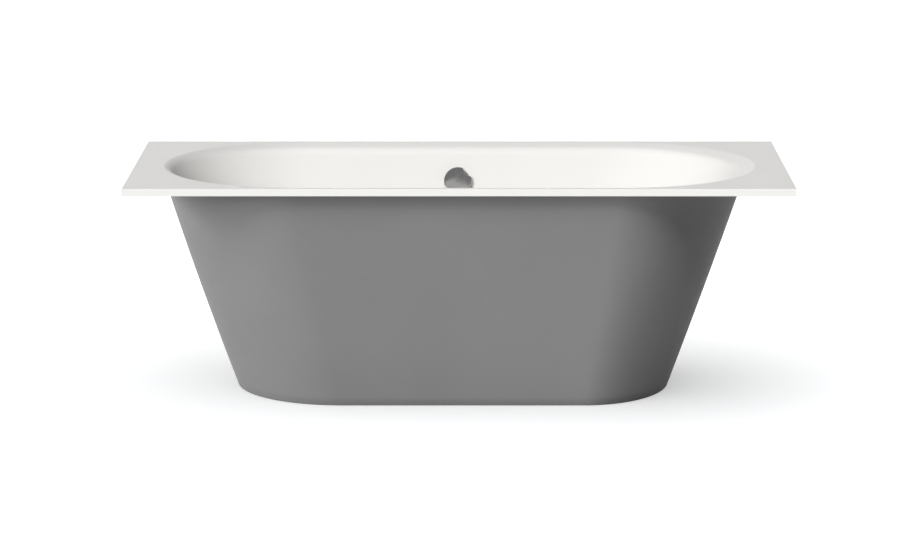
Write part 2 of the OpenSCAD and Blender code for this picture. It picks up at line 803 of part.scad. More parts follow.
module waste_bottom_seal() {
  color(black_rubber) at_waste() translate([0, 0, rim_z]) tube(waste_rim_r, bowl_hole_r + 1, seal_t);
}

waste_rim_r = waste_r + 6;
waste_rim_t = 4;
waste_bottom = rim_z - waste_depth;
tail_r = 19;
tail_bore = tail_r - 2.5;
tail_foot = -cup_drop + 17;

// The lever's shaft crosses the back of the waste body; its arm swings as far below level as above it
shaft_y = arm_l - 1;
arm_swing = asin(plug_lift / 2 / arm_l);
tip_r = 2.5;
shaft_z = waste_bottom + fitting_wall + tip_r + 1.2 + arm_l * sin(arm_swing);
boss_r = shaft_r + 3;
boss_end = waste_r + 3;
crank_t = 8;
crank_x = boss_end + 1 + crank_t / 2;
crank_w = 6;
wire_r = 0.6;
eye_r = wire_r * 3.6;
// The crank's eye at rest, from the shaft's middle
crank_eye = [crank_l * sin(arm_swing), crank_l * cos(arm_swing)];
sheath_end = shaft_y + crank_l * sin(arm_swing) + 18;

// A bracket at the side of the waste body holds the end of the cable's sheath
holder_t = 6;
holder_root = 8;

module waste_body() {
  chamber_r = waste_r - fitting_wall;
  chamber_z = waste_bottom + fitting_wall;
  shelf = -throat_l - 2;
  holder_l = crank_x - waste_r + holder_root + 6;
  color(pipe_grey) at_waste() difference() {
    union() {
      translate([0, 0, waste_bottom]) cylinder(r = waste_r, h = waste_depth);
      translate([0, 0, rim_z - waste_rim_t]) cylinder(r = waste_rim_r, h = waste_rim_t);
      translate([0, 0, -inlet_drop]) rotate([-90, 0, 0]) cylinder(r = inlet_r, h = inlet_reach);
      translate([0, 0, tail_foot]) cylinder(r = tail_r, h = chamber_z - tail_foot - 1);
      translate([0, shaft_y, shaft_z]) rotate([0, 90, 0]) cylinder(r = boss_r, h = boss_end);
      translate([waste_r - holder_root, sheath_end - holder_t, shaft_z - holder_t / 2])
        cube([holder_l, holder_t, crank_l + holder_t + 4]);
      translate([waste_r - holder_root, 0, shaft_z - holder_t / 2])
        cube([holder_t, sheath_end, holder_t]);
    }
    translate([0, 0, shelf]) cylinder(r = throat_r + run_fit, h = -shelf + cut);
    translate([0, 0, chamber_z]) cylinder(r = chamber_r, h = shelf - chamber_z);
    translate([0, 0, tail_foot - cut]) cylinder(r = tail_bore, h = chamber_z - tail_foot + 2 * cut);
    translate([0, 0, -inlet_drop]) rotate([-90, 0, 0]) cylinder(r = spigot_r - 1, h = inlet_reach + cut);
    translate([0, inlet_reach - socket_l, -inlet_drop]) rotate([-90, 0, 0])
      cylinder(r = pipe_r + sleeve_fit, h = socket_l + cut);
    translate([0, shaft_y, shaft_z]) rotate([0, 90, 0])
      cylinder(r = shaft_r + run_fit, h = boss_end + cut);
    translate([crank_x, sheath_end - holder_t - cut, shaft_z + crank_eye[1]]) rotate([-90, 0, 0])
      cylinder(r = cable_r + run_fit, h = holder_t + 2 * cut);
  }
}

module lift_lever() {
  arm_w = 8;
  arm_t = 3.6;
  color(zinc) at_waste() translate([0, shaft_y, shaft_z]) {
    translate([-arm_w / 2, 0, 0]) rotate([0, 90, 0])
      cylinder(r = shaft_r, h = crank_x + (crank_t + arm_w) / 2);
    rotate([arm_swing, 0, 0]) {
      translate([-arm_w / 2, -arm_l, -arm_t / 2]) cube([arm_w, arm_l, arm_t]);
      translate([-arm_w / 2, -arm_l, 0]) rotate([0, 90, 0]) cylinder(r = tip_r, h = arm_w);
      translate([crank_x, 0, 0]) difference() {
        union() {
          translate([-crank_t / 2, 0, 0]) rotate([0, 90, 0]) cylinder(r = shaft_r + 2, h = crank_t);
          translate([-crank_t / 2, -crank_w / 2, 0]) cube([crank_t, crank_w, crank_l]);
          translate([-crank_t / 2, 0, crank_l]) rotate([0, 90, 0]) cylinder(r = crank_w / 2, h = crank_t);
        }
        translate([0, -crank_w, crank_l]) rotate([-90, 0, 0]) cylinder(r = eye_r, h = 2 * crank_w);
      }
    }
  }
}

// The plug's skirt, with the groove that holds its seal
skirt_r = throat_r - throat_wall - 2;
skirt_h = 8;
groove_foot = -6.2;
groove_top = -3.4;

module plug_cap() {
  groove_r = skirt_r - 2;
  color(chrome) at_waste() translate([0, 0, near_gap]) rotate_extrude() polygon([
    [0, -skirt_h], [skirt_r, -skirt_h], [skirt_r, groove_foot], [groove_r, groove_foot],
    [groove_r, groove_top], [skirt_r, groove_top], [skirt_r, 0], [cap_r - 1, 0],
    [cap_r, 1], [cap_r, 2], [cap_r - 2, 3.2], [cap_r * 0.6, 5], [0, 5.6]
  ]);
}

module plug_seal() {
  seal_r = throat_r - throat_wall - near_gap;
  color(black_rubber) at_waste() translate([0, 0, near_gap + groove_foot + 0.1])
    tube(seal_r, skirt_r - 1.9, groove_top - groove_foot - 0.2);
}

stem_foot = shaft_z - arm_l * sin(arm_swing) + tip_r + near_gap;
stem_point = 3;
module plug_stem() {
  color(zinc) at_waste() {
    translate([0, 0, stem_foot + stem_point])
      cylinder(r = stem_r, h = near_gap - skirt_h - stem_foot - stem_point);
    translate([0, 0, stem_foot]) cylinder(r1 = stem_r / 2, r2 = stem_r, h = stem_point);
  }
}

// The trap hangs on the waste body's tail, with its outlet close to its bottom
cup_top = waste_bottom - 16;
collar_r = tail_r + 4;
collar_h = 10;
outlet_z = -cup_drop + outlet_r + 2;

module trap_cup() {
  bottom = -cup_drop;
  stop_t = 4;
  color(pipe_grey) at_waste() difference() {
    union() {
      translate([0, 0, bottom]) cylinder(r = cup_r, h = cup_top - bottom);
      translate([0, 0, cup_top - cut]) cylinder(r = collar_r, h = collar_h + cut);
      translate([0, 0, outlet_z]) rotate([-90, 0, 0]) cylinder(r = outlet_r, h = outlet_reach);
      translate([0, outlet_reach - outlet_grip - stop_t, outlet_z]) rotate([-90, 0, 0])
        cylinder(r = outlet_r + fitting_wall, h = stop_t);
    }
    translate([0, 0, bottom + fitting_wall])
      cylinder(r = cup_r - fitting_wall, h = cup_top - bottom - 2 * fitting_wall);
    translate([0, 0, cup_top - fitting_wall - cut])
      cylinder(r = tail_r + sleeve_fit, h = fitting_wall + collar_h + 2 * cut);
    translate([0, 0, outlet_z]) rotate([-90, 0, 0])
      cylinder(r = outlet_r - fitting_wall, h = outlet_reach + cut);
  }
}

module trap_seal() {
  color(black_rubber) at_waste() translate([0, 0, cup_top + collar_h])
    tube(collar_r, tail_r + sleeve_fit, seal_t);
}

module trap_nut() {
  crown_t = 2;
  color(nylon) at_waste() translate([0, 0, cup_top + near_gap]) {
    tube(collar_r + 4, collar_r + run_fit, collar_h + seal_t + crown_t - near_gap);
    translate([0, 0, collar_h + seal_t - near_gap]) tube(collar_r + 1, tail_r + sleeve_fit, crown_t);
  }
}

// The cable's route from the overflow body to the lever
eye_x = service_x + crank_x;
eye_z = waste_z + shaft_z + crank_eye[1];
cable_first = body_r + cable_boss;
cable_last = (pipe_top[1] - eye_z - 1.55 * cable_turn) / cos(side_slope);
cable_points = concat(
  [for (k = [0:4]) let (d = cable_first + (cable_last - cable_first) * k / 4)
    [service_x + cable_side, pipe_top[0] - d * sin(side_slope), pipe_top[1] - d * cos(side_slope)]],
  [
    [service_x + cable_side * 1.3, pipe_corner + 0.18 * cable_turn, eye_z + cable_turn],
    [eye_x - 4, pipe_corner - 0.02 * cable_turn, eye_z + 0.47 * cable_turn],
    [eye_x, pipe_corner - 0.3 * cable_turn, eye_z + 0.16 * cable_turn],
    [eye_x, pipe_corner - 0.78 * cable_turn, eye_z],
    [eye_x, waste_y + sheath_end, eye_z]
  ]
);

function between(a, b, c, d, t) =
  0.5 * (2 * b + (c - a) * t + (2 * a - 5 * b + 4 * c - d) * t * t + (3 * b - a - 3 * c + d) * t * t * t);
function smooth_route(p, steps) = concat(
  [for (i = [0:len(p) - 2], j = [0:steps - 1])
    between(p[max(i - 1, 0)], p[i], p[i + 1], p[min(i + 2, len(p) - 1)], j / steps)],
  [p[len(p) - 1]]
);
function unit(v) = v / norm(v);
function route_ring(p, k, r, sides) =
  let (
    t = unit(p[min(k + 1, len(p) - 1)] - p[max(k - 1, 0)]),
    u = unit(cross(t, [1, 0, 0])),
    v = cross(t, u)
  )
  [for (i = [0:sides - 1]) p[k] + r * (u * cos(360 * i / sides) + v * sin(360 * i / sides))];

module bowden_cable() {
  route = smooth_route(cable_points, 3);
  color(nylon) loft([for (k = [0:len(route) - 1]) route_ring(route, k, cable_r, 8)],
    route[0], route[len(route) - 1]);
}

// The bare end of the inner wire, from the sheath through the crank's eye to its nipple
module cable_wire() {
  nipple_l = 2;
  first = shaft_y - crank_eye[0] - crank_w - nipple_l;
  color(zinc) at_waste() translate([crank_x, first, shaft_z + crank_eye[1]]) rotate([-90, 0, 0]) {
    cylinder(r = wire_r, h = sheath_end - near_gap - first);
    cylinder(r = eye_r + 1, h = nipple_l);
  }
}

module cable_ties() {
  tie_t = 1.2;
  tie_w = 4;
  places = [for (share = [0.25, 0.64]) pipe_first + share * (pipe_last - pipe_first)];
  color(nylon) for (d = places) down_pipe() translate([0, 0, d]) linear_extrude(tie_w) difference() {
    hull() {
      circle(r = pipe_r + tie_t);
      translate([cable_side, 0]) circle(r = cable_r + tie_t);
    }
    hull() {
      circle(r = pipe_r + sleeve_fit);
      translate([cable_side, 0]) circle(r = cable_r + sleeve_fit);
    }
  }
}

basin();
outer_casing();
base_board();
casing_brackets();
bracket_screws();
casing_studs();
casing_nuts();
leg_rail_left();
leg_rail_right();
rail_screws();
rail_nuts();
lock_nuts();
foot_spindle_fl();
foot_spindle_fr();
foot_spindle_bl();
foot_spindle_br();
foot_pad_fl();
foot_pad_fr();
foot_pad_bl();
foot_pad_br();
overflow_knob();
knob_spindle();
cable_drum();
overflow_faceplate();
overflow_face_seal();
overflow_back_seal();
overflow_body();
overflow_pipe();
pipe_elbow();
pipe_tail();
pipe_nut_top();
pipe_nut_bottom();
bowden_cable();
cable_wire();
cable_ties();
waste_flange();
waste_top_seal();
waste_bottom_seal();
waste_body();
plug_cap();
plug_seal();
plug_stem();
lift_lever();
trap_cup();
trap_nut();
trap_seal();
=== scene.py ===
import json
import math

import bpy
from mathutils import Matrix, Vector


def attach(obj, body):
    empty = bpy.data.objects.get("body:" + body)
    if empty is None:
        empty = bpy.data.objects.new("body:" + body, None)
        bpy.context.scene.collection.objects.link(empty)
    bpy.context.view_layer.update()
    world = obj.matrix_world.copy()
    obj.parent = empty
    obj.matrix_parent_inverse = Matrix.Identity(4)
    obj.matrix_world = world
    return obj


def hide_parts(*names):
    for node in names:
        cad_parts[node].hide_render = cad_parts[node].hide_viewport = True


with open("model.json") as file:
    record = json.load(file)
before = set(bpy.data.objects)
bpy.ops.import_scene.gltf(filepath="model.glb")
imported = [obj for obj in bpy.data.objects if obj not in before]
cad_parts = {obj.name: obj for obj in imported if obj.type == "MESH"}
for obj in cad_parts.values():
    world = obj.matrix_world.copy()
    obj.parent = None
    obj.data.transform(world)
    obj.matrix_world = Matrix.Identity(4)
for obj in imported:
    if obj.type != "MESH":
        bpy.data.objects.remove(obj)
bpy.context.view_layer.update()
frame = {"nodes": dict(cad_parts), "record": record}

# Sizes of the CAD source, in metres and radians

DECK_L, DECK_W, DECK_T, DECK_BEVEL = 1.700, 0.750, 0.019, 0.0012
TUB_H, END_MARGIN, SIDE_MARGIN = 0.583, 0.075, 0.014

# The bowl: a rounded edge at the deck, a sloping shoulder, a round lip, the wall, a fillet and the floor
BOWL_DEPTH, FLOOR_FALL, BOWL_WALL, FLOOR_SKIN = 0.434, 0.006, 0.008, 0.008
EDGE_R, LIP_R, SHOULDER_SLOPE = 0.008, 0.030, math.radians(18)
SHOULDER_SIDE, SHOULDER_LEFT, SHOULDER_RIGHT = 0.024, 0.002, 0.035
SIDE_SLOPE, END_SLOPE = math.radians(10), math.radians(27)
SIDE_FILLET, END_FILLET, FLOOR_END = 0.070, 0.090, 0.190

# The casing: set in from the deck's edges at the top, and narrower by the tapers at the floor
CASING_SIDE_INSET, CASING_LEFT_INSET, CASING_RIGHT_INSET, CASING_WALL = 0.018, 0.074, 0.102, 0.004
SIDE_TAPER, LEFT_TAPER, RIGHT_TAPER = 0.0755, 0.190, 0.197
LEFT_BULGE, RIGHT_BULGE = 0.0045, 0.002
BLUNT_TOP, BLUNT_FOOT = 0.012, 0.050
PIPE_NOTCH_W, PIPE_NOTCH_H = 0.100, 0.100

# Waste, overflow, knob and plug
SERVICE_X, WASTE_GAP, OVERFLOW_DEPTH, HOLE_R = -0.005, 0.0845, 0.098, 0.026
KNOB_R, KNOB_T, KNOB_GAP = 0.03825, 0.012, 0.005
SEAL_T, PLATE_T, FLANGE_R, FLANGE_T = 0.002, 0.003, 0.036, 0.0025
CAP_R, SKIRT_R, NEAR_GAP = 0.033, 0.019, 0.0003
# The knob's finger notch: its half width and place are in degrees, the power shapes its flanks
FINGER_DEPTH, FINGER_HALF, FINGER_ANGLE, FINGER_POWER = 0.0105, 27.0, 44.0, 1.2

OPEN_X = DECK_L / 2 - END_MARGIN
OPEN_Y = DECK_W / 2 - SIDE_MARGIN
OPEN_C = OPEN_X - OPEN_Y
WASTE_Z = TUB_H - BOWL_DEPTH - FLOOR_FALL
UNDER_Z = WASTE_Z - FLOOR_SKIN
CASING_TOP = TUB_H - DECK_T


# Mesh helpers

def link(obj):
    bpy.context.scene.collection.objects.link(obj)
    return obj


def smooth(obj, sharp):
    """Smooth shading, apart from edges sharper than sharp degrees."""
    mesh = obj.data
    mesh.polygons.foreach_set("use_smooth", [True] * len(mesh.polygons))
    mesh.set_sharp_from_angle(angle=math.radians(sharp))


def mesh_object(name, points, faces, sharp=30):
    mesh = bpy.data.meshes.new(name)
    mesh.from_pydata([tuple(p) for p in points], [], faces)
    mesh.validate()
    mesh.update()
    obj = link(bpy.data.objects.new(name, mesh))
    smooth(obj, sharp)
    return obj


def round_skin(rings, closed):
    """Points, and quads between neighbouring rings; closed joins the last ring to the first."""
    n, m = len(rings[0]), len(rings)
    points = [p for r in rings for p in r]
    faces = []
    for k in range(m if closed else m - 1):
        a, b = k * n, ((k + 1) % m) * n
        for i in range(n):
            j = (i + 1) % n
            faces.append((a + i, a + j, b + j, b + i))
    return points, faces


def lathe(profile, steps):
    """A profile of (radius, height) turned round +Z; radius 0 at either end closes it."""
    rings = [[(r * math.cos(2 * math.pi * i / steps), r * math.sin(2 * math.pi * i / steps), z)
              for i in range(steps)] for r, z in profile if r > 0]
    points, faces = round_skin(rings, False)
    if profile[0][0] == 0:
        faces.append(tuple(reversed(range(steps))))
    if profile[-1][0] == 0:
        faces.append(tuple(range((len(rings) - 1) * steps, len(rings) * steps)))
    return points, faces


def cut_away(obj, cutter, sharp=30):
    """Cuts the closed mesh cutter out of obj and applies the cut."""
    mod = obj.modifiers.new("cut", "BOOLEAN")
    mod.operation, mod.solver, mod.object = "DIFFERENCE", "EXACT", cutter
    bpy.context.view_layer.update()
    done = bpy.data.meshes.new_from_object(
        obj.evaluated_get(bpy.context.evaluated_depsgraph_get()))
    obj.modifiers.remove(mod)
    old = obj.data
    obj.data = done
    bpy.data.meshes.remove(old)
    bpy.data.objects.remove(cutter)
    done.name = obj.name
    smooth(obj, sharp)


def placed(points, matrix):
    return [tuple(matrix @ Vector(p)) for p in points]


def arc(cx, cz, r, first, last, steps):
    """Points on an arc in a section, angles in degrees from +x towards +z."""
    return [(cx + r * math.cos(math.radians(first + (last - first) * i / steps)),
             cz + r * math.sin(math.radians(first + (last - first) * i / steps)))
            for i in range(steps + 1)]


def rounded(r, degrees):
    """An edge of radius r, as pairs: the first falls from r to 0 while the second rises from 0 to r."""
    return [(r * (1 - math.sin(math.radians(t))), r * (1 - math.cos(math.radians(t)))) for t in degrees]


def mixed(a, b, share):
    """The ring that lies share of the way from ring a to ring b."""
    return [tuple(p[k] + (q[k] - p[k]) * share for k in range(3)) for p, q in zip(a, b)]


# Sections through the bowl's wall, as (distance from the tub's middle, height from the deck's top)

EDGE_STEPS, SHOULDER_STEPS, LIP_STEPS, WALL_STEPS, FILLET_STEPS = 5, 4, 14, 12, 14
LIP_START_MOST = 0.98       # the wall's back starts no further along the lip's arc than this share


def lip_middle(edge, shoulder):
    """Middle of the lip's arc, under an edge and its shoulder."""
    s = SHOULDER_SLOPE
    return (edge + (LIP_R - EDGE_R) * math.sin(s) - shoulder * math.cos(s),
            -EDGE_R - (LIP_R - EDGE_R) * math.cos(s) - shoulder * math.sin(s))


def section(middle, r, first, slope, fillet, depth):
    """Lip, wall and fillet of the bowl; the lip starts at the angle first from straight up."""
    last = math.pi / 2 - slope
    out = arc(*middle, r, 90 + math.degrees(first), 90 + math.degrees(last), LIP_STEPS)
    top = out[-1]
    foot_z = -depth + fillet * (1 - math.sin(slope))
    foot = (top[0] - (top[1] - foot_z) * math.tan(slope), foot_z)
    mid = (foot[0] - fillet * math.cos(slope), -depth + fillet)
    for i in range(1, WALL_STEPS):
        s = i / WALL_STEPS
        out.append((top[0] + (foot[0] - top[0]) * s, top[1] + (foot[1] - top[1]) * s))
    for i in range(FILLET_STEPS + 1):
        a = slope + (math.pi / 2 - slope) * i / FILLET_STEPS
        out.append((mid[0] + fillet * math.cos(a), mid[1] - fillet * math.sin(a)))
    return out


def inner(edge, shoulder, slope, fillet):
    """The bowl's face, from its edge at the deck down the shoulder to the floor."""
    rim = arc(edge, -EDGE_R, EDGE_R, 90, 90 + math.degrees(SHOULDER_SLOPE), EDGE_STEPS)
    lip = section(lip_middle(edge, shoulder), LIP_R, SHOULDER_SLOPE, slope, fillet, BOWL_DEPTH)
    slant = [tuple(a + (b - a) * i / SHOULDER_STEPS for a, b in zip(rim[-1], lip[0]))
             for i in range(1, SHOULDER_STEPS)]
    return rim + slant + lip


def outer(edge, shoulder, slope, fillet):
    """The wall's back, which starts where it meets the deck's underside."""
    middle, r = lip_middle(edge, shoulder), LIP_R - BOWL_WALL
    met = math.acos(min((-DECK_T - middle[1]) / r, 1))
    return section(middle, r, min(met, LIP_START_MOST * (math.pi / 2 - slope)), slope,
                   fillet + BOWL_WALL, TUB_H - UNDER_Z)


# Outlines round the tub

END_STEPS, SIDE_STEPS, ANGLE_SLACK = 80, 100, 1e-9


def end_angles(steps):
    return [-math.pi / 2 + math.pi * i / steps for i in range(steps + 1)]


def outline(left, right, side, left_start, right_start, end_steps, side_steps):
    """Rounded ends with their tips at left and right, joined by straight sides.
    left, right and side are (distance, height); the height turns from the side's to the end's."""
    ring = []
    for tip, start, sign in ((right, right_start, 1), (left, left_start, -1)):
        for a in end_angles(end_steps):
            w = math.cos(a) ** 2
            ring.append((sign * (start + (tip[0] - start) * math.cos(a)),
                         sign * side[0] * math.sin(a), side[1] * (1 - w) + tip[1] * w))
        x0 = sign * start
        x1 = -sign * (left_start if sign > 0 else right_start)
        for i in range(1, side_steps):
            ring.append((x0 + (x1 - x0) * i / side_steps, sign * side[0], side[1]))
    return ring


def deck_ring(inset, z):
    """The deck's rectangle, set in by inset at height z from its top, point for point with the bowl's."""
    x, y = DECK_L / 2 - inset, DECK_W / 2 - inset
    ring = []
    for sign in (1, -1):
        for a in end_angles(END_STEPS):
            if abs(a) <= math.pi / 4 + ANGLE_SLACK:
                p = (x, y * math.tan(a))
            else:
                p = (OPEN_C + (x - OPEN_C) * math.cos(a) / math.sin(abs(a)), math.copysign(y, a))
            ring.append((sign * p[0], sign * p[1], TUB_H + z))
        for i in range(1, SIDE_STEPS):
            ring.append((sign * OPEN_C * (1 - 2 * i / SIDE_STEPS), sign * y, TUB_H + z))
    return ring


SIDE_IN = inner(OPEN_Y, SHOULDER_SIDE, SIDE_SLOPE, SIDE_FILLET)
WALL_TOP = SIDE_IN[EDGE_STEPS + SHOULDER_STEPS + LIP_STEPS]
WASTE_Y = SIDE_IN[-1][0] - WASTE_GAP
# The overflow's frame: on the inner face of the back wall, +Z into the bowl, +Y up the wall
OVERFLOW_Y = WALL_TOP[0] - (WALL_TOP[1] + OVERFLOW_DEPTH) * math.tan(SIDE_SLOPE)
OVERFLOW = (Matrix.Translation((SERVICE_X, OVERFLOW_Y, TUB_H - OVERFLOW_DEPTH))
            @ Matrix.Rotation(math.pi / 2 - SIDE_SLOPE, 4, "X"))


def hole_ring(like, r, z):
    """A circle of radius r round the waste, with its points in line with those of the ring like."""
    ring = []
    for x, y, _ in like:
        d = math.hypot(x - SERVICE_X, y - WASTE_Y)
        ring.append((SERVICE_X + (x - SERVICE_X) * r / d, WASTE_Y + (y - WASTE_Y) * r / d, z))
    return ring


# Basin: deck and bowl in one

SEAT_PLAY = 0.0005                              # round the waste flange, which lies in a recess
SEAT_R, SEAT_Z = FLANGE_R + SEAT_PLAY, WASTE_Z - FLANGE_T - SEAL_T
UNDER_BEVEL = 0.0005                            # along the deck's lower edge
BEVEL_DEGREES = (0, 22.5, 45, 67.5, 90)         # points on the deck's upper edge
UNDER_SHARES = (0.35, 0.7)                      # rings under the floor, hole to fillet
DECK_UNDER_SHARES = (0.3, 0.7)                  # rings under the deck, bowl to edge
DECK_TOP_SHARES = (0.02, 0.5, 0.96)             # rings on the deck, edge to bowl
FALL_STEPS = 14                                 # rings on the floor, fillet to waste
CUT_OVER, HOLE_STEPS = 0.004, 96                # the overflow's cutter, past the wall on both sides
BASIN_SHARP = 40


def make_basin():
    """One closed skin, whose rings run from the waste hole under the floor, up the bowl's back, round the
    deck, down the bowl's face and over its floor to the hole."""
    side_in = SIDE_IN
    left_in = inner(OPEN_X, SHOULDER_LEFT, END_SLOPE, END_FILLET)
    right_in = inner(OPEN_X, SHOULDER_RIGHT, END_SLOPE, END_FILLET)
    side_out = outer(OPEN_Y, SHOULDER_SIDE, SIDE_SLOPE, SIDE_FILLET)
    left_out = outer(OPEN_X, SHOULDER_LEFT, END_SLOPE, END_FILLET)
    right_out = outer(OPEN_X, SHOULDER_RIGHT, END_SLOPE, END_FILLET)

    def start(tip, floor_tip):
        """Where an end's curve starts: further in for tips that are lower down the wall."""
        share = (OPEN_X - tip) / (OPEN_X - floor_tip)
        return OPEN_C + (floor_tip - FLOOR_END - OPEN_C) * share

    def bowl_ring(left, right, side):
        ring = outline(left, right, side, start(left[0], left_in[-1][0]),
                       start(right[0], right_in[-1][0]), END_STEPS, SIDE_STEPS)
        return [(x, y, TUB_H + z) for x, y, z in ring]

    bowl_in = [bowl_ring(*s) for s in zip(left_in, right_in, side_in)]
    bowl_out = [bowl_ring(*s) for s in zip(left_out, right_out, side_out)]
    floor_edge, under_edge = bowl_in[-1], bowl_out[-1]

    rings = [hole_ring(under_edge, HOLE_R, UNDER_Z)]
    rings += [mixed(rings[0], under_edge, s) for s in UNDER_SHARES]
    rings += reversed(bowl_out)
    rings += [mixed(bowl_out[0], deck_ring(0, -DECK_T), s) for s in DECK_UNDER_SHARES]
    rings += [deck_ring(UNDER_BEVEL, -DECK_T), deck_ring(0, -DECK_T + UNDER_BEVEL)]
    rings += [deck_ring(inset, -drop) for drop, inset in rounded(DECK_BEVEL, BEVEL_DEGREES)]
    rings += [mixed(deck_ring(DECK_BEVEL, 0), bowl_in[0], s) for s in DECK_TOP_SHARES]
    rings += bowl_in
    rim = hole_ring(floor_edge, SEAT_R, WASTE_Z)
    floor_z = floor_edge[0][2]
    for i in range(1, FALL_STEPS + 1):
        s = i / FALL_STEPS
        fall = s * s * (3 - 2 * s)
        rings.append([(x, y, floor_z + (WASTE_Z + NEAR_GAP - floor_z) * fall)
                      for x, y, _ in mixed(floor_edge, rim, s)])
    rings += [hole_ring(floor_edge, SEAT_R, SEAT_Z), hole_ring(floor_edge, HOLE_R, SEAT_Z)]
    points, faces = round_skin(rings, True)
    basin = mesh_object("basin_shell", points, faces, sharp=BASIN_SHARP)
    low, high = -BOWL_WALL - CUT_OVER, CUT_OVER
    hole, sides = lathe([(0, low), (HOLE_R, low), (HOLE_R, high), (0, high)], HOLE_STEPS)
    cut_away(basin, mesh_object("overflow_hole", placed(hole, OVERFLOW), sides), sharp=BASIN_SHARP)
    return basin


# Casing

CASING_LEVELS, CASING_END_STEPS, CASING_SIDE_STEPS = 24, 96, 40
FOOT_BEVEL, FOOT_BEVEL_MIDDLE = 0.0012, 0.3
# The cutter of the pipe notch: how far it reaches below the floor, its near and far y, its arc's steps
NOTCH_BELOW, NOTCH_NEAR, NOTCH_FAR, NOTCH_STEPS = 0.01, 0.2, 0.4, 48


def casing_ring(z, inset):
    """The casing's outline at height z, set in by inset."""
    t = 1 - z / CASING_TOP
    side = DECK_W / 2 - CASING_SIDE_INSET - SIDE_TAPER * t
    left = DECK_L / 2 - CASING_LEFT_INSET - LEFT_TAPER * t + LEFT_BULGE * 4 * t * (1 - t)
    right = DECK_L / 2 - CASING_RIGHT_INSET - RIGHT_TAPER * t + RIGHT_BULGE * 4 * t * (1 - t)
    blunt = BLUNT_TOP + (BLUNT_FOOT - BLUNT_TOP) * t
    return outline((left - inset, z), (right - inset, z), (side - inset, z), left - side,
                   right - side + blunt, CASING_END_STEPS, CASING_SIDE_STEPS)


def make_casing():
    levels = [CASING_TOP * i / CASING_LEVELS for i in range(1, CASING_LEVELS)]
    e, middle = FOOT_BEVEL, FOOT_BEVEL * FOOT_BEVEL_MIDDLE
    outside = [casing_ring(0, e), casing_ring(middle, middle), casing_ring(e, 0)]
    outside += [casing_ring(z, 0) for z in levels] + [casing_ring(CASING_TOP, 0)]
    inside = [casing_ring(z, CASING_WALL) for z in (CASING_TOP, *reversed(levels), 0)]
    points, faces = round_skin(outside + inside, True)
    casing = mesh_object("casing_shell", points, faces)

    r = PIPE_NOTCH_W / 2
    spring = PIPE_NOTCH_H - r
    crown = [(r * math.cos(math.pi * i / NOTCH_STEPS), spring + r * math.sin(math.pi * i / NOTCH_STEPS))
             for i in range(1, NOTCH_STEPS)]
    shape = [(r, -NOTCH_BELOW), (r, spring)] + crown + [(-r, spring), (-r, -NOTCH_BELOW)]
    n = len(shape)
    body = [(SERVICE_X + x, y, z) for y in (NOTCH_NEAR, NOTCH_FAR) for x, z in shape]
    sides = [tuple(range(n)), tuple(reversed(range(n, 2 * n)))]
    sides += [(i, i + n, (i + 1) % n + n, (i + 1) % n) for i in range(n)]
    cut_away(casing, mesh_object("notch", body, sides))
    return casing


# Knob and plug cap

KNOB_STEPS = 360
KNOB_BACK_R, KNOB_FACE_R = 0.0012, 0.0024
KNOB_BACK_DEGREES, KNOB_FACE_DEGREES = (0, 30, 60, 90), range(0, 91, 9)


def knob_ring(inset, z):
    """The knob's outline with its two finger notches, set in by inset, one point a degree."""
    ring = []
    for a in range(KNOB_STEPS):
        off = abs((a - FINGER_ANGLE + 450) % 180 - 90)      # degrees to the nearer notch
        share = 0
        if off < FINGER_HALF:
            share = math.cos(math.radians(90 * off / FINGER_HALF)) ** FINGER_POWER
        r = KNOB_R - FINGER_DEPTH * share - inset
        ring.append((r * math.cos(math.radians(a)), r * math.sin(math.radians(a)), z))
    return ring


def make_knob():
    back = SEAL_T + PLATE_T + KNOB_GAP
    face = back + KNOB_T
    rings = [knob_ring(inset, back + rise) for inset, rise in rounded(KNOB_BACK_R, KNOB_BACK_DEGREES)]
    rings += [knob_ring(inset, face - drop) for drop, inset in rounded(KNOB_FACE_R, KNOB_FACE_DEGREES)]
    points, faces = round_skin(rings, False)
    last = (len(rings) - 1) * KNOB_STEPS
    faces += [tuple(reversed(range(KNOB_STEPS))), tuple(range(last, last + KNOB_STEPS))]
    return mesh_object("knob_body", placed(points, OVERFLOW), faces)


CAP_STEPS = 128
# The cap's heights, from its rim's underside: the skirt with the seal's groove, the rim and the crown
SKIRT_FOOT, GROOVE_LOW, GROOVE_HIGH, GROOVE_DEPTH = -0.008, -0.0062, -0.0034, 0.002
RIM_FOOT_R, RIM_FOOT_ARC = 0.0008, (-60, 0, 3)              # an arc: from and to in degrees, steps
RIM_TOP, RIM_TOP_R, RIM_TOP_ARC = 0.0018, 0.0012, (20, 75, 4)
CROWN_INSET, CROWN_FOOT, CROWN_RISE = 0.0022, 0.0031, 0.0025
CROWN_SHARES = (0.08, 0.2, 0.35, 0.5, 0.65, 0.8, 0.92, 0.98)


